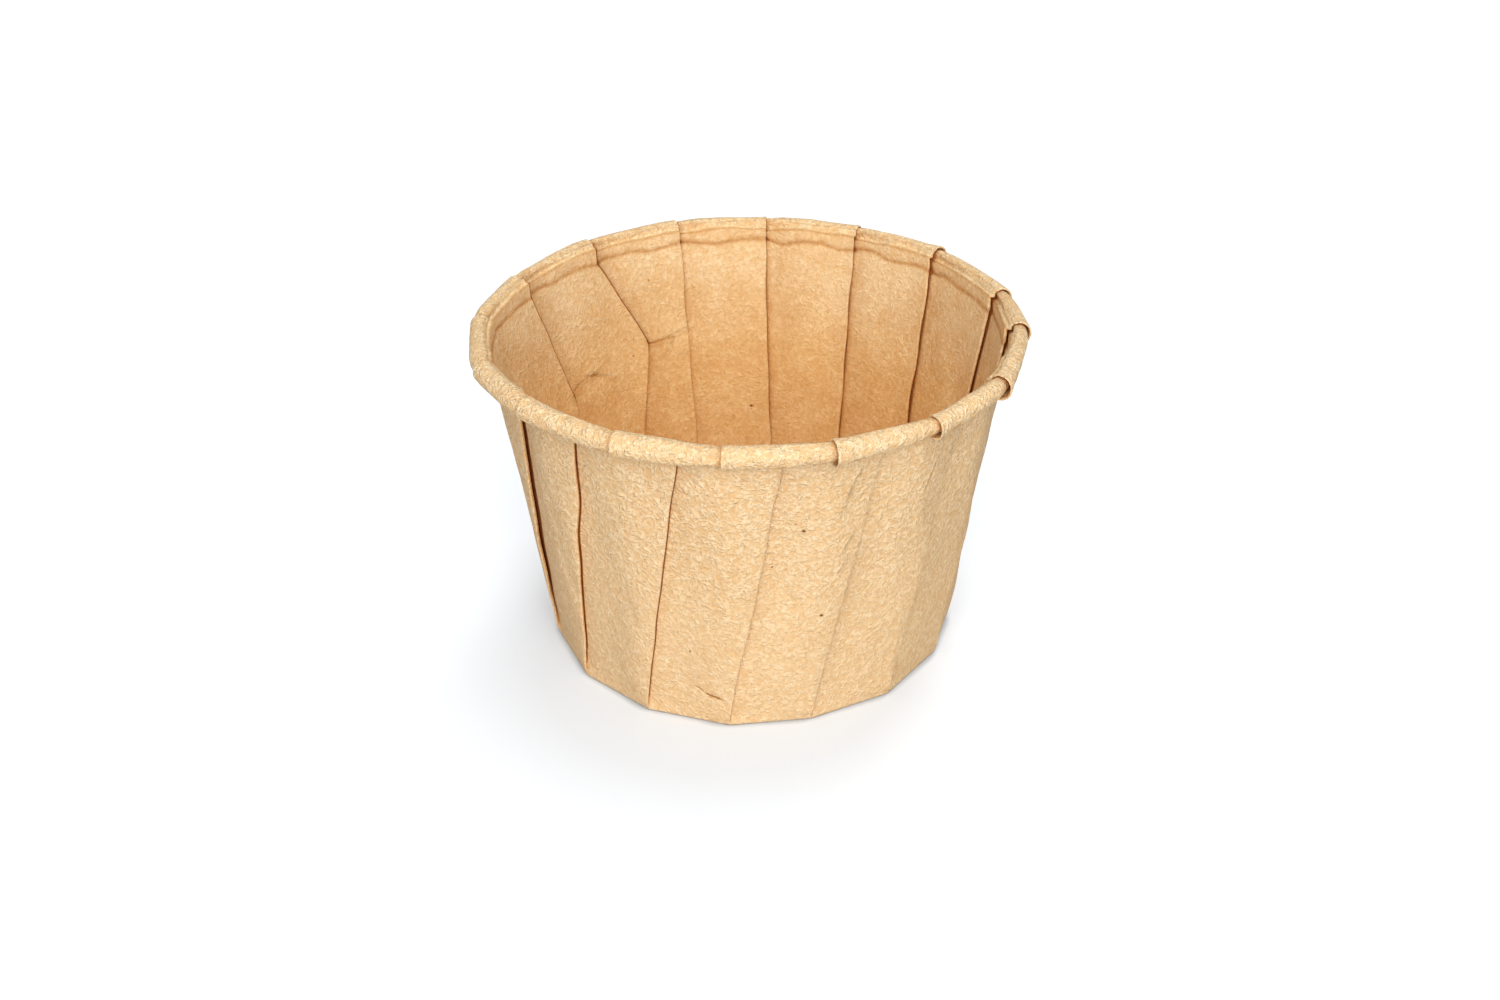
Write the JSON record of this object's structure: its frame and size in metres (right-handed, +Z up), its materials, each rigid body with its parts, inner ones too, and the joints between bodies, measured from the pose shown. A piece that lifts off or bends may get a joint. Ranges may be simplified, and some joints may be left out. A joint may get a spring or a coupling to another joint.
{
  "type": "paper souffle cup",
  "caption": "Small kraft paper portion cup with a flat base, knife-pleated flaring wall and a rim rolled outwards.",
  "frame": {"origin": "middle of the underside of the flat base, on the surface the cup stands on", "axes": "+Z up along the cup's axis; -Y towards the picture's camera; +X to the right in the picture"},
  "size_m": [0.073, 0.0727, 0.0454],
  "materials": {
    "kraft_paper": "uncoated brown kraft, matt"
  },
  "bodies": {
    "root": {"cup": "kraft_paper"}
  },
  "joints": []
}
